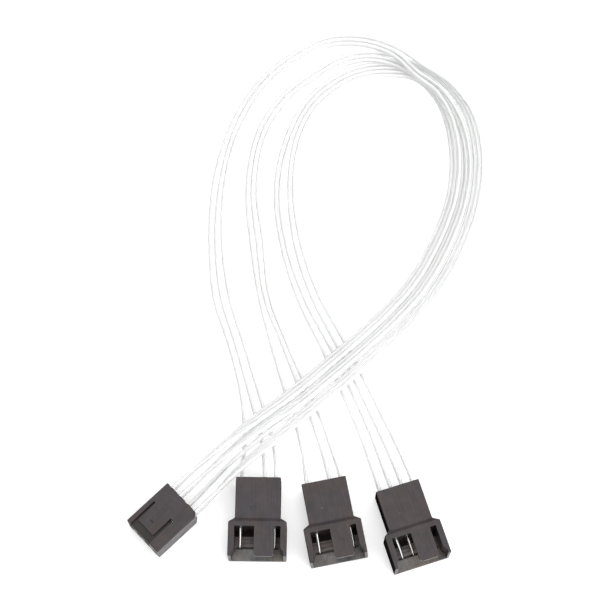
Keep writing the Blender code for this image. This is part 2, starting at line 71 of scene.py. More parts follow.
# What the connector family shares, as in the CAD source
PITCH = 2.54
PINS = {1: "ground", 2: "supply", 3: "speed", 4: "control"}
PIN_NUMBER = {label: number for number, label in PINS.items()}
MIDDLE_PIN = (1 + len(PINS)) / 2
END_WALL = 1.215
BODY_W = (len(PINS) - 1) * PITCH + 2 * END_WALL
CHAMBER_W = 2.1
PIN_SIDE = 0.64
LANCE_W, LANCE_L = 0.7, 1.9
WINDOW_CLEAR = 0.15
OVERCUT, OVERLAP = 1.0, 0.3          # how far a cutter reaches past a body, and into another
STACK_RISE = 1.1
WIRE_INSET = 3.9
WIRE_OUT = 0.5
CRIMP_BACK = 2.0

# Socket housing
SOCKET_L = 12.2
SOCKET_H = 5.7
SOCKET_CORNER = 0.9
SOCKET_LIP = 0.6
SOCKET_MOUTH = (1.6, 2.0)
CONTACT_Z = 2.62
RECEPTACLE = (1.9, 2.4, 6.3)
RECEPTACLE_CLEAR = 0.1
STACK_Z = 2.85
STACK_CHAMBER_H = 4.0
STACK_CHAMBER_L = 5.1
RECESS_FROM, RECESS_TO = 1.03, 7.31
RECESS_DEPTH = 0.95
RECESS_L = 1.9
SLOT_L = 7.2
SLOT_1, SLOT_2 = 0.5, 0.85
PAD_DROP = 0.45
PAD_END = 0.4
GATE_MARK = (1.1, 0.55, 0.12)
GATE_BACK = 1.9
SCALLOP_R, SCALLOP_DEPTH = 1.5, 0.12
SOCKET_LANCE = 2.2

# Plug housing
REAR_L = 9.25
REAR_FLOOR = 0.45
REAR_TOP = 5.95
SHOULDER_L = 0.95
SHROUD_W = 12.9
SHROUD_H = 6.55
SHROUD_L = 8.6
SHROUD_FLOOR = 0.75
ROOF_L = 1.95
PARTITION_L = 1.05
MATING_CLEAR = 0.075
TONGUE_X, TONGUE_W, TONGUE_T = 1.5, 4.4, 0.9
TONGUE_CORNER = 0.45
LEAD_IN, LEAD_IN_L, LEAD_IN_BACK = 0.67, 0.9, 1.05
GROOVE_BACK, GROOVE_W, GROOVE_DEPTH, GROOVE_END = 2.6, 0.5, 0.35, 0.3
GATE_X, GATE_Y, GATE_R = -1.5, -6.2, 0.2
PIN_CHAMBER_H = 2.6
PIN_HOLE_CLEAR = 0.03
PIN_Z = SHROUD_FLOOR + CONTACT_Z
TAB_CLEAR = 0.05
PIN_LANCE = 1.2

# What only the scene has: the gate's dimple in a plug, the front stretch of a shroud's floor that
# is painted lighter as lit, and the radius on edges that are cut into a housing
GATE_DEPTH = 0.06
LIT_L = 5.4
SMALL_EDGE = 0.045
MAP_SCALE = 0.05                     # of the plastic's map, for each millimetre
WIRE_STEP = 1.0                      # between the points of a wire's smooth line
STEPS_IN_TURN = 8                    # of a strand's twist
LOOKS_UP = 0.8                       # least upward part of a floor face's normal
NEAR = 0.05                          # from a face's centre to the plane that it belongs to

# Degrees of bend between two faces: up to the first they are one face, from the second a body's
# edge is softened and from the third an edge gets the radius; from the fourth an edge is shaded
# sharp, and so is one in the last range, between flat faces that nearly line up
FLAT_TO, SOFTENED_FROM, ROUNDED_FROM, CREASED_FROM = 0.5, 20, 26, 40
FACETS = (1.5, 6)

# Places in a housing's list of plastics, and the two colours that don't follow the setting: painted
# light on a shroud floor's front and middle stretches; the recess and matt plastics carry painted
# shade
PLAIN, RECESS_SHADE, SHROUD_FRONT_LIT, SHROUD_MIDDLE_LIT, MATT_SHADE = range(5)
SHROUD_FRONT_LIT_COLOUR = (0.140, 0.123, 0.110)
SHROUD_MIDDLE_LIT_COLOUR = (0.098, 0.077, 0.070)

# Camera as fitted to the photo, and each soft light's size and place from the cable's middle
CAMERA_PLACE = (0.03166, -0.07928, 0.35141)
CAMERA_TILT = 20.466                 # degrees from straight down
CAMERA_LENS = 93.76
CABLE_MIDDLE = Vector((0.03366, 0.05597, 0))
OVERHEAD = ((1.70, 1.40), (0.20, 0.08, 0.60))
FRONT = ((0.40, 0.25), (0.36, -0.36, 0.22))
FLOOR_REACH = 1.5

# Places that follow from those sizes
RECEPTACLE_FRONT = -SOCKET_L + SOCKET_LIP + RECEPTACLE_CLEAR / 2
RECEPTACLE_FLOOR = CONTACT_Z - RECEPTACLE[1] / 2 - RECEPTACLE_CLEAR
TAB_FRONT = -REAR_L - ROOF_L + PARTITION_L + TAB_CLEAR
PIN_CHAMBER_FLOOR = PIN_Z - PIN_CHAMBER_H / 2

# Where the connectors lie, as in the CAD source
Pose = namedtuple("Pose", "x y turn roll width")
SOCKET_TURN = -45.9
SOCKET_POSE = Pose(-math.sin(math.radians(SOCKET_TURN)) * SOCKET_L / 2,
                   math.cos(math.radians(SOCKET_TURN)) * SOCKET_L / 2, SOCKET_TURN, 0.0, BODY_W)
PLUG_POSES = {1: Pose(21.1, 9.1, -0.7, 0.0, SHROUD_W),
              2: Pose(35.9, 8.4, 10.6, 3.6, SHROUD_W),
              3: Pose(51.9, 7.2, 17.7, 0.0, SHROUD_W)}
PLUG_PINS = {1: (1, 2, 4), 2: (1, 2, 4), 3: (1, 2, 3, 4)}
LAYER = {3: -1, 2: 0, 1: 1}          # each plug's wires lie under or over the middle layer

# The wires' routes, as in the CAD source. Headings are degrees anticlockwise from +X;
# lanes are distances to the right of travel, one for each socket pin, then one for each plug pin.
Station = namedtuple("Station", "x y heading height lanes lean rise")
BUNDLE = (
    Station(8.9, 8.5, 43, 2.70, (-3.6, -1.2, 1.3, 3.7), 0.2, 1.05),
    Station(14.3, 13.2, 42, 4.75, (-3.3, -1.1, 1.3, 3.3), 0.5, 0.95),
    Station(21.4, 19.6, 41, 4.40, (-3.1, -0.9, 1.6, 3.2), 0.8, 0.70),
    Station(30.0, 26.8, 40, 3.20, (-3.0, -0.4, 1.6, 2.7), 0.9, 0.56),
    Station(38.6, 34.5, 42, 2.40, (-3.0, -0.4, 1.6, 2.7), 0.9, 0.56),
    Station(46.0, 41.4, 44, 2.00, (-2.9, -0.3, 1.6, 2.7), 0.9, 0.56),
    Station(52.8, 48.3, 48, 1.20, (-2.9, -0.3, 1.7, 2.8), 0.9, 0.56),
    Station(58.5, 54.9, 54, 0.65, (-3.0, -0.4, 1.6, 2.7), 0.9, 0.56),
    Station(65.5, 67.3, 66, 0.55, (-3.0, -0.4, 1.6, 2.8), 0.9, 0.56),
    Station(69.8, 79.9, 79, 0.55, (-2.9, -0.3, 1.6, 2.7), 0.9, 0.56),
    Station(70.9, 90.4, 93, 0.55, (-3.0, -0.4, 1.6, 2.7), 0.9, 0.56),
    Station(69.1, 101.3, 109, 0.55, (-2.7, -0.8, 1.2, 2.5), 0.7, 0.80),
    Station(65.5, 107.9, 126, 0.55, (-2.1, -0.7, 0.7, 2.0), 0.3, 1.05),
    Station(59.5, 113.2, 147, 0.55, (-1.68, -0.56, 0.56, 1.68), 0.0, 1.10),
)
Split = namedtuple("Split", "x y heading height lanes")
GROUPS = {
    1: (
        Split(53.8, 118.2, 153, 2.85, (-1.25, -0.10, 1.15)),
        Split(45.2, 121.6, 172, 2.20, (-1.15, 0.00, 1.15)),
        Split(36.0, 121.5, 192, 1.20, (-1.15, 0.00, 1.15)),
        Split(29.4, 118.0, 212, 0.75, (-1.15, 0.00, 1.15)),
        Split(21.6, 111.1, 229, 0.58, (-1.15, 0.00, 1.15)),
        Split(16.4, 102.9, 243, 0.55, (-1.15, 0.00, 1.15)),
        Split(12.7, 94.0, 251, 0.55, (-1.40, -0.35, 1.00)),
        Split(10.5, 84.5, 263, 0.55, (-1.70, -0.60, 0.95)),
        Split(9.8, 68.5, 272, 0.55, (-1.90, -0.35, 1.05)),
        Split(11.9, 53.2, 281, 0.55, (-1.90, 0.00, 1.65)),
        Split(15.2, 42.0, 286, 0.57, (-2.00, -0.15, 1.35)),
        Split(18.9, 28.5, 284, 0.74, (-2.35, -0.15, 1.90)),
        Split(20.9, 17.6, 272, 1.60, (-3.40, -0.90, 3.20)),
    ),
    2: (
        Split(52.6, 116.7, 160, 1.65, (-1.20, -0.10, 1.15)),
        Split(46.0, 117.6, 178, 1.45, (-1.15, 0.00, 1.15)),
        Split(39.5, 116.0, 200, 1.00, (-1.15, 0.00, 1.15)),
        Split(34.0, 112.7, 215, 0.66, (-1.15, 0.00, 1.15)),
        Split(26.3, 105.9, 229, 0.55, (-1.15, 0.00, 1.15)),
        Split(21.6, 98.3, 247, 0.55, (-1.15, 0.00, 1.15)),
        Split(19.2, 89.0, 261, 0.55, (-1.15, 0.00, 1.15)),
        Split(18.7, 79.5, 272, 0.55, (-1.20, 0.00, 1.25)),
        Split(20.0, 68.5, 277, 0.55, (-1.40, 0.05, 1.50)),
        Split(22.1, 53.2, 283, 0.55, (-1.15, 0.00, 1.20)),
        Split(25.7, 42.0, 290, 0.55, (-1.60, -0.50, 2.00)),
        Split(29.3, 32.3, 289, 0.55, (-2.00, -0.50, 2.80)),
        Split(32.7, 22.5, 287, 0.90, (-2.75, -0.65, 3.20)),
        Split(34.4, 16.3, 281, 1.90, (-2.95, -0.75, 3.55)),
    ),
    3: (
        Split(52.6, 114.3, 168, 0.55, (-1.65, -0.55, 0.55, 1.65)),
        Split(47.9, 114.1, 185, 0.55, (-1.65, -0.55, 0.55, 1.65)),
        Split(42.4, 112.5, 201, 0.55, (-1.65, -0.55, 0.55, 1.65)),
        Split(37.6, 109.4, 216, 0.55, (-1.65, -0.55, 0.55, 1.65)),
        Split(32.6, 104.2, 234, 0.55, (-1.65, -0.55, 0.55, 1.65)),
        Split(29.2, 97.3, 248, 0.55, (-1.65, -0.55, 0.55, 1.65)),
        Split(27.1, 89.0, 261, 0.55, (-1.95, -0.85, 0.85, 1.95)),
        Split(26.6, 79.5, 273, 0.55, (-2.15, -1.00, 1.20, 2.30)),
        Split(28.2, 68.5, 282, 0.55, (-2.00, -0.60, 1.45, 2.55)),
        Split(32.5, 53.2, 290, 0.55, (-2.50, -0.80, 1.00, 2.40)),
        Split(37.9, 42.0, 295, 0.55, (-2.80, -0.80, 0.80, 2.60)),
        Split(43.0, 31.0, 294, 0.55, (-3.00, -0.90, 0.90, 3.00)),
        Split(47.6, 20.0, 290, 0.90, (-3.30, -1.00, 1.00, 3.30)),
        Split(49.5, 14.6, 288, 1.90, (-3.60, -1.20, 1.20, 3.60)),
    ),
}


# Settings that a user would change

class HousingSettings(bpy.types.PropertyGroup):
    colour: FloatVectorProperty(
        name="Plastic Colour", description="Base colour of the moulded housings", subtype="COLOR",
        size=3, min=0, max=1, default=(0.0395, 0.0285, 0.0280))
    roughness: FloatProperty(
        name="Plastic Roughness", description="Mean roughness of the moulded surface",
        subtype="FACTOR", min=0, max=1, default=0.34)
    edge: FloatProperty(
        name="Outer Edge", description="Radius of the softened outer edges", subtype="DISTANCE",
        unit="LENGTH", min=0.00002, max=0.0003, default=0.0002, precision=5)
    grain: FloatProperty(
        name="Grain", description="Depth of the fine moulded grain", subtype="FACTOR",
        min=0, max=1, default=0.3)


class ContactSettings(bpy.types.PropertyGroup):
    colour: FloatVectorProperty(
        name="Plating Colour", description="Colour of the tinned contacts and pins",
        subtype="COLOR", size=3, min=0, max=1, default=(0.76, 0.75, 0.72))
    roughness: FloatProperty(
        name="Plating Roughness", description="Mean roughness of the plating", subtype="FACTOR",
        min=0, max=1, default=0.20)


class WireSettings(bpy.types.PropertyGroup):
    diameter: FloatProperty(
        name="Insulation Diameter", description="Outside diameter of one clear wire",
        subtype="DISTANCE", unit="LENGTH", min=0.0006, max=0.0011, default=0.001, precision=5)
    strand: FloatProperty(
        name="Strand Diameter", description="Diameter of one metal strand", subtype="DISTANCE",
        unit="LENGTH", min=0.00008, max=0.00022, default=0.00019, precision=5)
    outer_strands: IntProperty(
        name="Outer Strands", description="Strands that wind around the middle one",
        min=3, max=12, default=6)
    lay: FloatProperty(
        name="Lay Length", description="Length over which a strand winds once around",
        subtype="DISTANCE", min=0.0015, max=0.02, default=0.0030, precision=4)
    tint: FloatVectorProperty(
        name="Insulation Tint", description="What the clear insulation lets through",
        subtype="COLOR", size=3, min=0, max=1, default=(0.985, 0.988, 0.99))
    milk: FloatProperty(
        name="Milkiness", description="Share of the insulation that scatters light back",
        subtype="FACTOR", min=0, max=0.5, default=0.30)
    silver: FloatVectorProperty(
        name="Strand Colour", description="Colour of the silvery strands", subtype="COLOR",
        size=3, min=0, max=1, default=(0.97, 0.97, 0.965))
    strand_roughness: FloatProperty(
        name="Strand Roughness", description="Mean roughness of the strands", subtype="FACTOR",
        min=0, max=1, default=0.26)


class StageSettings(bpy.types.PropertyGroup):
    floor: FloatVectorProperty(
        name="Floor Colour", description="Colour of the plain pale floor", subtype="COLOR",
        size=3, min=0, max=1, default=(0.86, 0.86, 0.86))
    lift: FloatProperty(
        name="Floor Lift", description="Light that only the camera sees added to the floor",
        min=0, max=1, default=0.36)
    shine: FloatProperty(
        name="Floor Shine", min=0, max=1, default=0.30,
        description="Light that reflections and clear wires see added to the floor")
    surround: FloatProperty(
        name="Surround", description="Strength of the even white surround", min=0, max=3,
        default=0.40)
    overhead: FloatProperty(
        name="Overhead Light", description="Power of the soft light above and behind",
        subtype="POWER", unit="POWER", min=0, max=100, default=9.9)
    front: FloatProperty(
        name="Front Light", description="Power of the soft light low in front, on the right",
        subtype="POWER", unit="POWER", min=0, max=100, default=1.5)


class SplitterSettings(bpy.types.PropertyGroup):
    housing: PointerProperty(type=HousingSettings)
    contact: PointerProperty(type=ContactSettings)
    wire: PointerProperty(type=WireSettings)
    stage: PointerProperty(type=StageSettings)


def settings():
    return bpy.context.scene.splitter_cable


# Mesh helpers: connectors are drawn in their own frames, in millimetres

def pose_matrix(pose):
    """From a connector's own frame to the world, in metres; a roll pivots on the lower -X edge."""
    edge = Vector((-pose.width / 2, 0, 0)) * MM
    roll = (Matrix.Translation(edge) @ Matrix.Rotation(-math.radians(pose.roll), 4, "Y")
            @ Matrix.Translation(-edge))
    turn = Matrix.Rotation(math.radians(pose.turn), 4, "Z")
    return Matrix.Translation(Vector((pose.x, pose.y, 0)) * MM) @ turn @ roll


def loft(rings):
    """Closed bmesh through rings of matching points, capped at both ends."""
    bm = bmesh.new()
    loops = [[bm.verts.new(point) for point in ring] for ring in rings]
    count = len(rings[0])
    for near, far in zip(loops, loops[1:]):
        for i in range(count):
            j = (i + 1) % count
            bm.faces.new((near[i], near[j], far[j], far[i]))
    bm.faces.new(loops[0])
    bm.faces.new(loops[-1])
    bmesh.ops.recalc_face_normals(bm, faces=bm.faces)
    return bm


def prism_up(outline, low, high):
    return loft([[(x, y, z) for x, y in outline] for z in (low, high)])


def prism_across(profile, x_near, x_far):
    return loft([[(x, y, z) for y, z in profile] for x in (x_near, x_far)])


def box(x_low, x_high, y_low, y_high, z_low, z_high):
    return prism_up([(x_low, y_low), (x_high, y_low), (x_high, y_high), (x_low, y_high)],
                    z_low, z_high)


def ring(cx, cy, radius, steps, stretch=1.0):
    return [(cx + radius * stretch * math.cos(2 * math.pi * i / steps),
             cy + radius * math.sin(2 * math.pi * i / steps)) for i in range(steps)]


def window(x, start, chamber_floor):
    """Cutter for the window that a contact's lance catches in, open at the underside."""
    half = LANCE_W / 2 + WINDOW_CLEAR
    return box(x - half, x + half, start - WINDOW_CLEAR, start + LANCE_L + WINDOW_CLEAR,
               -OVERCUT, chamber_floor + WINDOW_CLEAR)


def soften(bm, width):
    """Rounds every sharp edge of a body that has no cuts yet."""
    sharp = [e for e in bm.edges if e.calc_face_angle(0.0) > math.radians(SOFTENED_FROM)]
    bmesh.ops.bevel(bm, geom=sharp, offset=width, segments=4, profile=0.5, affect="EDGES",
                    clamp_overlap=True)
    return bm


def as_object(name, bm):
    mesh = bpy.data.meshes.new(name)
    bm.to_mesh(mesh)
    bm.free()
    made = bpy.data.objects.new(name, mesh)
    bpy.context.scene.collection.objects.link(made)
    return made


def merged(piece, place, gap):
    """The piece's mesh at a place, with corners that doubled and faces that line up joined."""
    bm = bmesh.new()
    bm.from_mesh(piece.data)
    bm.transform(place)
    bmesh.ops.remove_doubles(bm, verts=bm.verts, dist=gap)
    bmesh.ops.dissolve_limit(bm, angle_limit=math.radians(FLAT_TO), verts=bm.verts,
                             edges=bm.edges)
    return bm


def evaluated_mesh(piece):
    """The piece's mesh with its modifiers taken in, and the modifiers gone."""
    result = bpy.data.meshes.new_from_object(
        piece.evaluated_get(bpy.context.evaluated_depsgraph_get()))
    piece.modifiers.clear()
    old, piece.data = piece.data, result
    bpy.data.meshes.remove(old)
    return piece


def cut(piece, *tools):
    for bm in tools:
        tool = as_object("tool", bm)
        change = piece.modifiers.new("cut", "BOOLEAN")
        change.operation = "DIFFERENCE"
        change.solver = "EXACT"
        change.object = tool
        evaluated_mesh(piece)
        bpy.data.objects.remove(tool, do_unlink=True)
    return piece


def finish_moulding(piece, pose, plastic_at, split=None):
    """Small radii on every remaining edge, plastics, a box map, then the place in the world.

    plastic_at gives a face's place in the list of plastics from its centre and normal; faces
    that cross the y of split are divided there, so that the plastic can change on it.
    """
    bm = merged(piece, Matrix(), 0.001)
    bm.to_mesh(piece.data)
    bm.free()
    piece.data.shade_smooth()
    rounding = piece.modifiers.new("rounding", "BEVEL")
    rounding.width = SMALL_EDGE
    rounding.segments = 2
    rounding.limit_method = "ANGLE"
    rounding.angle_limit = math.radians(ROUNDED_FROM)
    rounding.use_clamp_overlap = True
    rounding.miter_outer = "MITER_ARC"
    evaluated_mesh(piece)
    bm = bmesh.new()
    bm.from_mesh(piece.data)
    if split is not None:
        bmesh.ops.bisect_plane(bm, geom=[*bm.verts, *bm.edges, *bm.faces],
                               plane_co=(0, split, 0), plane_no=(0, 1, 0))
    for edge in bm.edges:
        bend = math.degrees(edge.calc_face_angle(0.0))
        edge.smooth = bend < CREASED_FROM and not FACETS[0] < bend < FACETS[1]
    bm.to_mesh(piece.data)
    bm.free()
    flat = piece.modifiers.new("flat", "WEIGHTED_NORMAL")
    flat.mode = "FACE_AREA"
    flat.weight = 100
    flat.keep_sharp = True
    evaluated_mesh(piece)
    mesh = piece.data
    layer = mesh.uv_layers.new(name="Moulding")
    for _ in range(MATT_SHADE + 1):
        mesh.materials.append(None)
    for polygon in mesh.polygons:
        polygon.material_index = plastic_at(*polygon.center, polygon.normal)
        across, along = {0: (2, 1), 1: (0, 2), 2: (0, 1)}[
            max(range(3), key=lambda axis: abs(polygon.normal[axis]))]
        for loop in polygon.loop_indices:
            place = mesh.vertices[mesh.loops[loop].vertex_index].co
            layer.data[loop].uv = [place[axis] * MAP_SCALE + 0.5 for axis in (across, along)]
    mesh.transform(pose_matrix(pose) @ Matrix.Scale(MM, 4))
    return piece


def socket_x(pin):
    """The socket faces the plugs, so its pin 1 is on the -X side."""
    return (pin - MIDDLE_PIN) * PITCH


def plug_x(pin):
    return (MIDDLE_PIN - pin) * PITCH


def round_blade(mesh, pose, x):
    """Shades a pin's blade as round, with normals that point away from its axis."""
    place = pose_matrix(pose)
    normals = []
    for vertex in mesh.vertices:
        local = place.inverted() @ vertex.co / MM
        outward = Vector((local.x - x, 0, local.z - PIN_Z)).normalized()
        normals.append(place.to_3x3() @ outward if local.y < TAB_FRONT else (0, 0, 0))
    mesh.shade_smooth()
    for polygon in mesh.polygons:
        polygon.use_smooth = (place.inverted() @ polygon.center).y / MM < TAB_FRONT
    mesh.normals_split_custom_set_from_vertices(normals)


# Materials

def new_material(name):
    made = bpy.data.materials.new(name)
    made.use_nodes = True
    made.node_tree.nodes.clear()
    return made, made.node_tree


def node(tree, kind, inputs=None, **values):
    made = tree.nodes.new(kind)
    for name, value in values.items():
        setattr(made, name, value)
    for name, value in (inputs or {}).items():
        if isinstance(value, bpy.types.NodeSocket):
            tree.links.new(value, made.inputs[name])
        else:
            made.inputs[name].default_value = value
    return made


def mix(tree, share, first, second, blend="MIX"):
    return node(tree, "ShaderNodeMix", {0: share, 6: first, 7: second}, data_type="RGBA",
                blend_type=blend).outputs[2]


def noise(tree, place, scale, detail=3.0, roughness=0.5):
    return node(tree, "ShaderNodeTexNoise", {"Vector": place, "Scale": scale, "Detail": detail,
                                             "Roughness": roughness}).outputs["Fac"]


def spread(tree, value, low, high, start=0.3, end=0.7):
    """Stretches a 0 to 1 pattern onto a range."""
    return node(tree, "ShaderNodeMapRange", {"Value": value, "From Min": start, "From Max": end,
                                             "To Min": low, "To Max": high}).outputs["Result"]


def finish_material(tree, shader):
    out = node(tree, "ShaderNodeOutputMaterial")
    tree.links.new(shader, out.inputs["Surface"])


def moulded_plastic(name, colour, roughness, grain, streak=1.0, gloss=0.33, flow=(46, 2.5)):
    """Dark moulded nylon: warm and cool flow streaks, faint mottling, fine grain, a soft gloss."""
    made, tree = new_material(name)
    place = node(tree, "ShaderNodeTexCoord").outputs["Object"]
    mapped = node(tree, "ShaderNodeUVMap", uv_map="Moulding").outputs["UV"]
    stretched = node(tree, "ShaderNodeMapping", {"Vector": mapped, "Scale": (*flow, 1)})
    streaks = noise(tree, stretched.outputs["Vector"], 1.0, 4.0, 0.65)
    mottle = noise(tree, place, 300, 4.0, 0.6)
    fine = noise(tree, place, 9500, 3.0, 0.6)
    both = node(tree, "ShaderNodeMath", {0: streaks, 1: mottle}, operation="ADD").outputs[0]
    red, green, blue = colour
    cool = (red * 0.86, green * 0.98, blue * 1.14, 1)
    tone = mix(tree, spread(tree, noise(tree, place, 130, 2.0), 0, 1, 0.4, 0.6), (*colour, 1), cool)
    shade = spread(tree, both, 1 - 0.3 * streak, 1 + 0.35 * streak, 0.75, 1.25)
    bump = node(tree, "ShaderNodeBump", {"Height": fine, "Strength": grain, "Distance": 0.00002})
    shader = node(tree, "ShaderNodeBsdfPrincipled", {
        "Base Color": mix(tree, 1.0, tone, shade, "MULTIPLY"), "Specular IOR Level": gloss,
        "Roughness": spread(tree, both, roughness - 0.06, roughness + 0.08, 0.75, 1.25),
        "Normal": bump.outputs["Normal"], "IOR": 1.53})
    finish_material(tree, shader.outputs["BSDF"])
    return made


def plated_metal(name, colour, roughness, mottle_scale=1800):
    """Tin plating: slightly uneven tone and gloss with fine grain."""
    made, tree = new_material(name)
    place = node(tree, "ShaderNodeTexCoord").outputs["Object"]
    cloud = noise(tree, place, mottle_scale, 3.0)
    fine = noise(tree, place, 14000, 2.0)
    dull = (*(c * 0.93 for c in colour), 1)
    bump = node(tree, "ShaderNodeBump", {"Height": fine, "Strength": 0.12, "Distance": 0.00001})
    shader = node(tree, "ShaderNodeBsdfPrincipled", {
        "Base Color": mix(tree, spread(tree, cloud, 0, 1), dull, (*colour, 1)),
        "Metallic": 1.0, "Roughness": spread(tree, cloud, roughness - 0.05, roughness + 0.08),
        "Normal": bump.outputs["Normal"]})
    finish_material(tree, shader.outputs["BSDF"])
    return made


def clear_insulation(name, tint, milk):
    """Clear, slightly milky plastic that lets the lamps through to the strands inside it."""
    made, tree = new_material(name)
    place = node(tree, "ShaderNodeTexCoord").outputs["Object"]
    cloud = noise(tree, place, 700, 3.0)
    bump = node(tree, "ShaderNodeBump", {"Height": noise(tree, place, 2200, 2.0),
                                         "Strength": 0.08, "Distance": 0.00003})
    plastic = node(tree, "ShaderNodeBsdfPrincipled", {
        "Base Color": (*tint, 1), "Roughness": spread(tree, cloud, 0.03, 0.08),
        "Transmission Weight": 1.0 - milk, "IOR": 1.42, "Normal": bump.outputs["Normal"]})
    open_to_lamps = node(tree, "ShaderNodeBsdfTransparent", {"Color": (0.95, 0.95, 0.95, 1)})
    rays = node(tree, "ShaderNodeLightPath")
    mixed = node(tree, "ShaderNodeMixShader", {
        0: rays.outputs["Is Shadow Ray"], 1: plastic.outputs["BSDF"],
        2: open_to_lamps.outputs["BSDF"]})
    finish_material(tree, mixed.outputs["Shader"])
    return made


def pale_floor(name, colour, lift, shine):
    """Plain floor with its shadows; the camera, reflections and clear wires see it lifted."""
    made, tree = new_material(name)
    plain = node(tree, "ShaderNodeBsdfDiffuse", {"Color": (*colour, 1)})
    glow = node(tree, "ShaderNodeEmission", {"Color": (1, 1, 1, 1)})
    rays = node(tree, "ShaderNodeLightPath")
    power = 0.0
    for seen, added in (("Is Camera Ray", lift), ("Is Glossy Ray", shine),
                        ("Is Transmission Ray", shine)):
        share = node(tree, "ShaderNodeMath", {0: rays.outputs[seen], 1: added},
                     operation="MULTIPLY").outputs[0]
        power = node(tree, "ShaderNodeMath", {0: share, 1: power}, operation="MAXIMUM").outputs[0]
    tree.links.new(power, glow.inputs["Strength"])
    both = node(tree, "ShaderNodeAddShader", {0: plain.outputs["BSDF"],
                                              1: glow.outputs["Emission"]})
    finish_material(tree, both.outputs["Shader"])
    return made


def dress(piece, materials, slot, *nodes):
    """Materials, body and the CAD nodes that the piece stands for; the slot is not used."""
    faces = []
    if piece.type == "MESH":
        faces = [polygon.material_index for polygon in piece.data.polygons]
    piece.data.materials.clear()
    for material in materials:
        piece.data.materials.append(material)
    if faces and len(materials) > 1:
        piece.data.polygons.foreach_set("material_index", faces)
    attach(piece, "root")
    if nodes:
        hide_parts(*nodes)
    return piece


# Routes

def rear_z(plug):
    """Height of a plug's wires in the socket's rear face."""
    return STACK_Z + LAYER[plug] * STACK_RISE


def beside(x, y, heading, across, height):
    angle = math.radians(heading)
    return Vector((x + across * math.sin(angle), y - across * math.cos(angle), height))


def bundle_point(station, plug, pin):
    across = station.lanes[pin - 1] + LAYER[plug] * station.lean
    return beside(station.x, station.y, station.heading, across,
                  station.height + (LAYER[plug] - LAYER[3]) * station.rise)


def route(plug, pin):
    """The given points of one wire, in millimetres, from the socket to the plug."""
    socket, target = pose_matrix(SOCKET_POSE), pose_matrix(PLUG_POSES[plug])
    points = [socket @ (Vector((socket_x(pin), y, rear_z(plug))) * MM) / MM
              for y in (-WIRE_INSET, -CRIMP_BACK, WIRE_OUT)]
    points += [bundle_point(station, plug, pin) for station in BUNDLE]
    points += [beside(s.x, s.y, s.heading, s.lanes[PLUG_PINS[plug].index(pin)], s.height)
               for s in GROUPS[plug]]
    points += [target @ (Vector((plug_x(pin), y, PIN_Z)) * MM) / MM
               for y in (WIRE_OUT, -CRIMP_BACK, -WIRE_INSET)]
    return points


def smooth_line(points, step):
    """Cubic curve through the points, sampled about every step, in millimetres."""
    points = np.array([tuple(p) for p in points])
    gaps = np.linalg.norm(np.diff(points, axis=0), axis=1)
    slopes = np.diff(points, axis=0) / gaps[:, None]
    tangents = np.empty_like(points)
    tangents[0], tangents[-1] = slopes[0], slopes[-1]
    before, after = gaps[:-1, None], gaps[1:, None]
    tangents[1:-1] = (slopes[:-1] * after + slopes[1:] * before) / (before + after)
    line = []
    for i, gap in enumerate(gaps):
        count = max(1, round(gap / step))
        for t in np.arange(count) / count:
            line.append((2 * t**3 - 3 * t**2 + 1) * points[i] + (t**3 - 2 * t**2 + t) * gap
                        * tangents[i] + (3 * t**2 - 2 * t**3) * points[i + 1]
                        + (t**3 - t**2) * gap * tangents[i + 1])
    return np.array(line + [points[-1]])


def each_wire():
    """Every wire's plug and pin, its name and the line that it follows, in millimetres."""
    for plug, pins in PLUG_PINS.items():
        for pin in pins:
            yield plug, pin, f"{plug}_{PINS[pin]}", smooth_line(route(plug, pin), WIRE_STEP)


def path_curve(name, line, bevel=0.0):
    """Open curve, in metres, of straight pieces through a line in millimetres."""
    curve = bpy.data.curves.new(name, "CURVE")
    curve.dimensions = "3D"
    curve.bevel_depth = bevel
    curve.bevel_resolution = 6
    curve.use_fill_caps = bevel > 0
    spline = curve.splines.new("POLY")
    spline.points.add(len(line) - 1)
    for point, place in zip(spline.points, line):
        point.co = (*(place * MM), 1.0)
    made = bpy.data.objects.new(name, curve)
    bpy.context.scene.collection.objects.link(made)
    return made


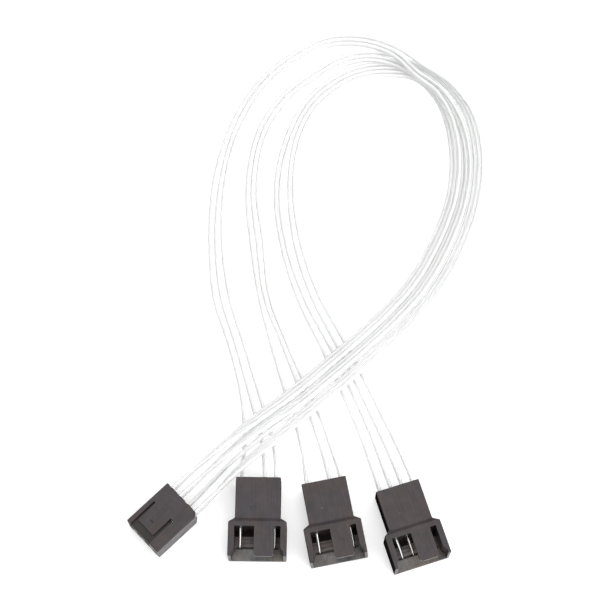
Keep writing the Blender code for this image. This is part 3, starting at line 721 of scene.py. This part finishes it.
def twist_tree():
    """Geometry Nodes: winds strands around a path and gives each a round section."""
    tree = bpy.data.node_groups.new("Twisted Strands", "GeometryNodeTree")
    new = tree.interface.new_socket
    new("Path", in_out="INPUT", socket_type="NodeSocketGeometry")
    new("Outer Strands", in_out="INPUT", socket_type="NodeSocketInt")
    for label in ("Strand Diameter", "Lay Length", "Step"):
        new(label, in_out="INPUT", socket_type="NodeSocketFloat")
    new("Metal", in_out="INPUT", socket_type="NodeSocketMaterial")
    new("Strands", in_out="OUTPUT", socket_type="NodeSocketGeometry")
    given = node(tree, "NodeGroupInput").outputs

    def math_of(operation, a, b):
        return node(tree, "ShaderNodeMath", {0: a, 1: b}, operation=operation).outputs[0]

    even = node(tree, "GeometryNodeResampleCurve",
                {"Curve": given["Path"], "Length": given["Step"]}, mode="LENGTH")
    level = node(tree, "GeometryNodeSetCurveNormal", {"Curve": even.outputs["Curve"]},
                 mode="Z_UP").outputs["Curve"]
    copies = node(tree, "GeometryNodeDuplicateElements",
                  {"Geometry": level, "Amount": given["Outer Strands"]}, domain="SPLINE")
    along = node(tree, "GeometryNodeSplineParameter").outputs["Length"]
    turns = math_of("DIVIDE", along, given["Lay Length"])
    share = math_of("DIVIDE", copies.outputs["Duplicate Index"], given["Outer Strands"])
    angle = math_of("MULTIPLY", math_of("ADD", turns, share), 2 * math.pi)
    normal = node(tree, "GeometryNodeInputNormal").outputs["Normal"]
    tangent = node(tree, "GeometryNodeInputTangent").outputs["Tangent"]
    side = node(tree, "ShaderNodeVectorMath", {0: normal, 1: tangent},
                operation="CROSS_PRODUCT").outputs["Vector"]

    def scaled(vector, amount):
        made = node(tree, "ShaderNodeVectorMath", {0: vector}, operation="SCALE")
        tree.links.new(amount, made.inputs["Scale"])
        return made.outputs["Vector"]

    shift = node(tree, "ShaderNodeVectorMath",
                 {0: scaled(normal, math_of("COSINE", angle, 0.0)),
                  1: scaled(side, math_of("SINE", angle, 0.0))}, operation="ADD")
    offset = scaled(shift.outputs["Vector"], given["Strand Diameter"])
    wound = node(tree, "GeometryNodeSetPosition",
                 {"Geometry": copies.outputs["Geometry"], "Offset": offset}).outputs["Geometry"]
    joined = node(tree, "GeometryNodeJoinGeometry")
    tree.links.new(level, joined.inputs["Geometry"])
    tree.links.new(wound, joined.inputs["Geometry"])
    section = node(tree, "GeometryNodeCurvePrimitiveCircle",
                   {"Resolution": 5, "Radius": math_of("DIVIDE", given["Strand Diameter"], 2.0)})
    tubes = node(tree, "GeometryNodeCurveToMesh",
                 {"Curve": joined.outputs["Geometry"], "Profile Curve": section.outputs["Curve"],
                  "Fill Caps": True})
    round_ones = node(tree, "GeometryNodeSetShadeSmooth", {"Geometry": tubes.outputs["Mesh"]})
    real = node(tree, "GeometryNodeRealizeInstances",
                {"Geometry": round_ones.outputs["Geometry"]})
    last = node(tree, "GeometryNodeSetMaterial", {"Geometry": real.outputs["Geometry"],
                                                  "Material": given["Metal"]})
    out = node(tree, "NodeGroupOutput")
    tree.links.new(last.outputs["Geometry"], out.inputs["Strands"])
    return tree


def nodes_result(name, piece, tree, values):
    """Runs the tree on the piece and keeps the result as a plain mesh under the name."""
    change = piece.modifiers.new("nodes", "NODES")
    change.node_group = tree
    for socket in tree.interface.items_tree:
        if socket.item_type == "SOCKET" and socket.name in values:
            change[socket.identifier] = values[socket.name]
    mesh = bpy.data.meshes.new_from_object(
        piece.evaluated_get(bpy.context.evaluated_depsgraph_get()))
    bpy.data.objects.remove(piece, do_unlink=True)
    if not mesh.vertices:
        raise RuntimeError(f"{name} came out empty")
    mesh.name = name
    made = bpy.data.objects.new(name, mesh)
    bpy.context.scene.collection.objects.link(made)
    return made


# Pieces

def socket_housing(edge):
    half = BODY_W / 2
    outline = [(-half, 0), (half - SOCKET_CORNER, 0), (half, -SOCKET_CORNER),
               (half, -SOCKET_L), (-half, -SOCKET_L)]
    housing = as_object("socket_body", soften(prism_up(outline, 0, SOCKET_H), edge))
    left, right = -half + RECESS_FROM, -half + RECESS_TO
    pad_front, slot_end = -SOCKET_L + RECESS_L, -SOCKET_L + SLOT_L
    front, above = -SOCKET_L - OVERCUT, SOCKET_H + OVERCUT
    recess = [(left, front), (right, front), (right, slot_end), (right - SLOT_2, slot_end),
              (right - SLOT_2, pad_front), (left + SLOT_1, pad_front),
              (left + SLOT_1, slot_end), (left, slot_end)]
    slope_end = slot_end - PAD_END
    slope = PAD_DROP / (slope_end - pad_front)
    wedge = [(front, SOCKET_H - PAD_DROP + (front - pad_front) * slope), (slope_end, SOCKET_H),
             (slope_end, above), (front, above)]
    mark_x = (left + SLOT_1 + right - SLOT_2) / 2
    mark_z = SOCKET_H - PAD_DROP + GATE_BACK * slope - GATE_MARK[2]
    mark = ring(mark_x, pad_front + GATE_BACK, GATE_MARK[1] / 2, 28, GATE_MARK[0] / GATE_MARK[1])
    cut(housing,
        prism_up(recess, SOCKET_H - RECESS_DEPTH, above),
        prism_across(wedge, left + SLOT_1 / 2, right - SLOT_2 / 2),
        prism_up(mark, mark_z, above))
    receptacle_w, receptacle_h, _ = RECEPTACLE
    ceiling = CONTACT_Z + receptacle_h / 2 + RECEPTACLE_CLEAR
    mouth_w, mouth_h = SOCKET_MOUTH
    for pin in PINS:
        x = socket_x(pin)
        cut(housing,
            box(x - CHAMBER_W / 2, x + CHAMBER_W / 2, -STACK_CHAMBER_L, OVERCUT,
                STACK_Z - STACK_CHAMBER_H / 2, STACK_Z + STACK_CHAMBER_H / 2),
            box(x - receptacle_w / 2 - RECEPTACLE_CLEAR, x + receptacle_w / 2 + RECEPTACLE_CLEAR,
                -SOCKET_L + SOCKET_LIP, -STACK_CHAMBER_L + OVERCUT, RECEPTACLE_FLOOR, ceiling),
            box(x - mouth_w / 2, x + mouth_w / 2, front, -SOCKET_L + SOCKET_LIP + OVERCUT,
                CONTACT_Z - mouth_h / 2, CONTACT_Z + mouth_h / 2),
            window(x, RECEPTACLE_FRONT + SOCKET_LANCE, RECEPTACLE_FLOOR),
            prism_up(ring(x, SCALLOP_R - SCALLOP_DEPTH, SCALLOP_R, 36), STACK_Z, above))

    def plastic_at(x, y, z, normal):
        # The recess's floor carries painted shade; the gate mark's floor takes the same darker
        # plastic
        deep = STACK_Z + 1 < z < SOCKET_H - 0.8 * RECESS_DEPTH and left < x < right
        marked = abs(z - mark_z) < 0.03 and normal.z > 0.998
        return RECESS_SHADE if (deep and normal.z > LOOKS_UP) or marked else PLAIN

    return finish_moulding(housing, SOCKET_POSE, plastic_at)


def plug_housing(number, edge):
    half, wide = BODY_W / 2, SHROUD_W / 2
    shoulder, front = -REAR_L - SHOULDER_L, -REAR_L - SHROUD_L
    lit_end = front + LIT_L
    sections = ((0, half, REAR_FLOOR, REAR_TOP), (-REAR_L, half, REAR_FLOOR, REAR_TOP),
                (shoulder, wide, 0, SHROUD_H), (front, wide, 0, SHROUD_H))
    rings = [[(x, y, z) for x, z in ((-w, low), (w, low), (w, high), (-w, high))]
             for y, w, low, high in sections]
    housing = as_object(f"plug_{number}_body", soften(loft(rings), edge))
    inner = half + MATING_CLEAR
    back = -REAR_L - ROOF_L
    tongue_low = SHROUD_H - TONGUE_T
    tongue_left, tongue_right = TONGUE_X - TONGUE_W / 2, TONGUE_X + TONGUE_W / 2
    lead_end = front + LEAD_IN_BACK
    mouth = [(-inner, back), (-inner, lead_end + LEAD_IN_L), (-inner - LEAD_IN, lead_end),
             (-inner - LEAD_IN, front - OVERCUT), (inner + LEAD_IN, front - OVERCUT),
             (inner + LEAD_IN, lead_end), (inner, lead_end + LEAD_IN_L), (inner, back)]
    ahead = front - OVERCUT / 2
    around_tongue = [*mouth[:3], (-inner - LEAD_IN, ahead), (tongue_left + TONGUE_CORNER, ahead),
                     (tongue_left + TONGUE_CORNER, front), (tongue_left, front + TONGUE_CORNER),
                     (tongue_left, back)]
    beside_tongue = [(tongue_right, back), (tongue_right, front + TONGUE_CORNER),
                     (tongue_right - TONGUE_CORNER, front), (tongue_right - TONGUE_CORNER, ahead),
                     (inner + LEAD_IN, ahead), *mouth[5:]]
    cut(housing,
        prism_up(mouth, SHROUD_FLOOR, tongue_low),
        prism_up(around_tongue, tongue_low - OVERLAP, SHROUD_H + OVERCUT),
        prism_up(beside_tongue, tongue_low - OVERLAP, SHROUD_H + OVERCUT),
        box(-inner + GROOVE_END, inner - GROOVE_END,
            front + GROOVE_BACK, front + GROOVE_BACK + GROOVE_W,
            SHROUD_FLOOR - GROOVE_DEPTH, SHROUD_FLOOR + OVERCUT / 2))
    cut(housing, prism_up(ring(GATE_X, GATE_Y, GATE_R, 16), REAR_TOP - GATE_DEPTH,
                          REAR_TOP + OVERCUT))
    hole = PIN_SIDE / 2 + PIN_HOLE_CLEAR
    for pin in PINS:
        x = plug_x(pin)
        cut(housing,
            box(x - CHAMBER_W / 2, x + CHAMBER_W / 2, back + PARTITION_L, OVERCUT,
                PIN_CHAMBER_FLOOR, PIN_CHAMBER_FLOOR + PIN_CHAMBER_H),
            box(x - hole, x + hole, back - OVERCUT, back + PARTITION_L + OVERCUT,
                PIN_Z - hole, PIN_Z + hole),
            window(x, TAB_FRONT + PIN_LANCE, PIN_CHAMBER_FLOOR))

    def plastic_at(x, y, z, normal):
        upward, grooved = normal.z > LOOKS_UP, z < SHROUD_FLOOR - 0.1
        outside = abs(x) > wide - NEAR or (abs(x) > half - NEAR and y > shoulder)
        # The gate's dimple takes the lighter middle plastic, which shows it as a light dot
        if math.hypot(x - GATE_X, y - GATE_Y) < GATE_R and REAR_TOP - 0.1 < z < REAR_TOP - 0.02:
            return SHROUD_MIDDLE_LIT
        # Outer sides: matt, with painted shade
        if outside and abs(normal.x) > 0.9:
            return MATT_SHADE
        if y > back + 0.2 or not SHROUD_FLOOR - 0.5 < z < tongue_low or abs(x) > inner:
            return PLAIN
        # Behind the lit stretch the floor carries painted shade from the roof; the groove and the
        # walls there carry the recess's painted shade
        if y > lit_end or grooved:
            return MATT_SHADE if upward and not grooved else RECESS_SHADE
        if not upward:
            return PLAIN
        # Painted light on the floor near the mouth: brightest in front of the groove, dimmer behind
        # it
        return SHROUD_MIDDLE_LIT if y > front + GROOVE_BACK else SHROUD_FRONT_LIT

    return finish_moulding(housing, PLUG_POSES[number], plastic_at, lit_end)


def soft_light(name, power, size, offset):
    """Rectangular lamp at its offset from the cable's middle, turned towards it."""
    light = bpy.data.lights.new(name, "AREA")
    light.shape = "RECTANGLE"
    light.size, light.size_y = size
    light.energy = power
    lamp = bpy.data.objects.new(name, light)
    lamp.location = CABLE_MIDDLE + Vector(offset)
    lamp.rotation_euler = (CABLE_MIDDLE - lamp.location).to_track_quat("-Z", "Y").to_euler()
    bpy.context.scene.collection.objects.link(lamp)


# Operators

class CABLE_OT_set_stage(bpy.types.Operator):
    """Camera, soft lights, white surround and plain pale floor"""
    bl_idname = "cable.set_stage"
    bl_label = "Set Stage"

    def execute(self, context):
        stage = settings().stage
        scene = context.scene
        scene.view_settings.view_transform = "Standard"
        scene.cycles.max_bounces = scene.cycles.transmission_bounces = 24
        scene.cycles.glossy_bounces = 10
        scene.cycles.transparent_max_bounces = 24

        view = bpy.data.cameras.new("view")
        view.sensor_width = 36.0
        view.lens = CAMERA_LENS
        view.clip_start, view.clip_end = 0.01, 10.0
        camera = bpy.data.objects.new("camera", view)
        camera.location = CAMERA_PLACE
        camera.rotation_euler = (math.radians(CAMERA_TILT), 0, 0)
        scene.collection.objects.link(camera)
        scene.camera = camera

        surround = bpy.data.worlds.new("surround")
        surround.use_nodes = True
        tree = surround.node_tree
        tree.nodes.clear()
        rays = node(tree, "ShaderNodeLightPath")
        even = node(tree, "ShaderNodeBackground", {"Color": (1, 1, 1, 1),
                                                   "Strength": stage.surround})
        white = node(tree, "ShaderNodeBackground", {"Color": (1, 1, 1, 1), "Strength": 1.0})
        mixed = node(tree, "ShaderNodeMixShader", {
            0: rays.outputs["Is Camera Ray"], 1: even.outputs[0], 2: white.outputs[0]})
        out = node(tree, "ShaderNodeOutputWorld")
        tree.links.new(mixed.outputs[0], out.inputs["Surface"])
        scene.world = surround

        soft_light("overhead_light", stage.overhead, *OVERHEAD)
        soft_light("front_light", stage.front, *FRONT)

        bm = bmesh.new()
        bmesh.ops.create_grid(bm, x_segments=1, y_segments=1, size=FLOOR_REACH)
        bmesh.ops.translate(bm, verts=bm.verts, vec=(CABLE_MIDDLE.x, CABLE_MIDDLE.y, cad_low.z))
        floor = as_object("floor", bm)
        floor.data.materials.append(pale_floor("pale floor", stage.floor, stage.lift,
                                               stage.shine))
        return {"FINISHED"}


class CABLE_OT_mould_housings(bpy.types.Operator):
    """The socket's body and the three shrouded plug bodies"""
    bl_idname = "cable.mould_housings"
    bl_label = "Mould Housings"

    def execute(self, context):
        chosen = settings().housing

        def plastic(name, colour, duller=0.0, **look):
            return moulded_plastic(name, colour, chosen.roughness + duller, chosen.grain, **look)

        def darkened(share):
            return [c * share for c in chosen.colour]

        # The darkened copies carry painted shade; the two lighter shroud floor colours carry
        # painted light
        plastics = [
            plastic("dark moulded plastic", chosen.colour),
            plastic("recess painted shade plastic", darkened(0.45), streak=0.6, gloss=0.3),
            plastic("shroud front painted light plastic", SHROUD_FRONT_LIT_COLOUR, 0.08, streak=1.7, flow=(90, 3)),
            plastic("shroud middle painted light plastic", SHROUD_MIDDLE_LIT_COLOUR, 0.08, streak=2.2, flow=(2, 34)),
            plastic("matt painted shade plastic", darkened(0.4), streak=0.6, gloss=0.0)]
        dress(socket_housing(chosen.edge / MM), plastics[:RECESS_SHADE + 1], "housing",
              "socket_housing")
        for number in PLUG_PINS:
            dress(plug_housing(number, chosen.edge / MM), plastics, "housing",
                  f"plug_{number}_housing")
        return {"FINISHED"}


class CABLE_OT_plate_contacts(bpy.types.Operator):
    """Tin plating on the socket's contacts and the plugs' pins"""
    bl_idname = "cable.plate_contacts"
    bl_label = "Plate Contacts"

    def execute(self, context):
        chosen = settings().contact
        tin = plated_metal("tin plating", chosen.colour, chosen.roughness)
        for name, piece in list(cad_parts.items()):
            if name.endswith(("_contact", "_pin")):
                copy = as_object(f"{name}_plated", merged(piece, piece.matrix_world, 1e-6))
                if name.endswith("_pin"):
                    number, pin = name.split("_")[1:3]
                    round_blade(copy.data, PLUG_POSES[int(number)], plug_x(PIN_NUMBER[pin]))
                dress(copy, [tin], "contact", name)
        return {"FINISHED"}


class CABLE_OT_twist_strands(bpy.types.Operator):
    """The silvery strands inside every wire, wound around one middle strand"""
    bl_idname = "cable.twist_strands"
    bl_label = "Twist Strands"

    def execute(self, context):
        chosen = settings().wire
        silver = plated_metal("silvery strands", chosen.silver, chosen.strand_roughness, 900)
        tree = twist_tree()
        for _, _, name, line in each_wire():
            strands = nodes_result(f"strands_{name}", path_curve("path", line), tree, {
                "Outer Strands": chosen.outer_strands, "Strand Diameter": chosen.strand,
                "Lay Length": chosen.lay, "Step": chosen.lay / STEPS_IN_TURN, "Metal": silver})
            dress(strands, [silver], "contact")
        return {"FINISHED"}


class CABLE_OT_lay_wires(bpy.types.Operator):
    """The ten wires' clear insulation"""
    bl_idname = "cable.lay_wires"
    bl_label = "Lay Wires"

    def execute(self, context):
        chosen = settings().wire
        clear = clear_insulation("clear insulation", chosen.tint, chosen.milk)
        for plug, pin, name, line in each_wire():
            tube = path_curve(f"insulation_{name}", line, chosen.diameter / 2)
            dress(tube, [clear], "wire", f"wire_{name}")
            length = float(np.linalg.norm(np.diff(line, axis=0), axis=1).sum()) * MM
            rear = pose_matrix(SOCKET_POSE) @ (Vector((socket_x(pin), 0, rear_z(plug))) * MM)
        return {"FINISHED"}


class CABLE_PT_panel(bpy.types.Panel):
    bl_label = "Splitter Cable"
    bl_idname = "CABLE_PT_panel"
    bl_space_type = "VIEW_3D"
    bl_region_type = "UI"
    bl_category = "Splitter Cable"

    def draw(self, context):
        for name, group in (("Housings", "housing"), ("Contacts", "contact"), ("Wires", "wire"),
                            ("Stage", "stage")):
            part = self.layout.box()
            part.label(text=name)
            chosen = getattr(settings(), group)
            for prop in chosen.bl_rna.properties:
                if prop.identifier not in ("rna_type", "name"):
                    part.prop(chosen, prop.identifier)
        for operator in OPERATORS:
            self.layout.operator(operator.bl_idname)


OPERATORS = (CABLE_OT_set_stage, CABLE_OT_mould_housings, CABLE_OT_plate_contacts,
             CABLE_OT_twist_strands, CABLE_OT_lay_wires)
CLASSES = (HousingSettings, ContactSettings, WireSettings, StageSettings, SplitterSettings,
           *OPERATORS, CABLE_PT_panel)


def register():
    for kind in CLASSES:
        bpy.utils.register_class(kind)
    bpy.types.Scene.splitter_cable = PointerProperty(type=SplitterSettings)


def unregister():
    del bpy.types.Scene.splitter_cable
    for kind in reversed(CLASSES):
        bpy.utils.unregister_class(kind)


def main():
    register()
    bpy.ops.cable.set_stage()
    bpy.ops.cable.mould_housings()
    bpy.ops.cable.plate_contacts()
    bpy.ops.cable.twist_strands()
    bpy.ops.cable.lay_wires()


if __name__ == "__main__":
    main()
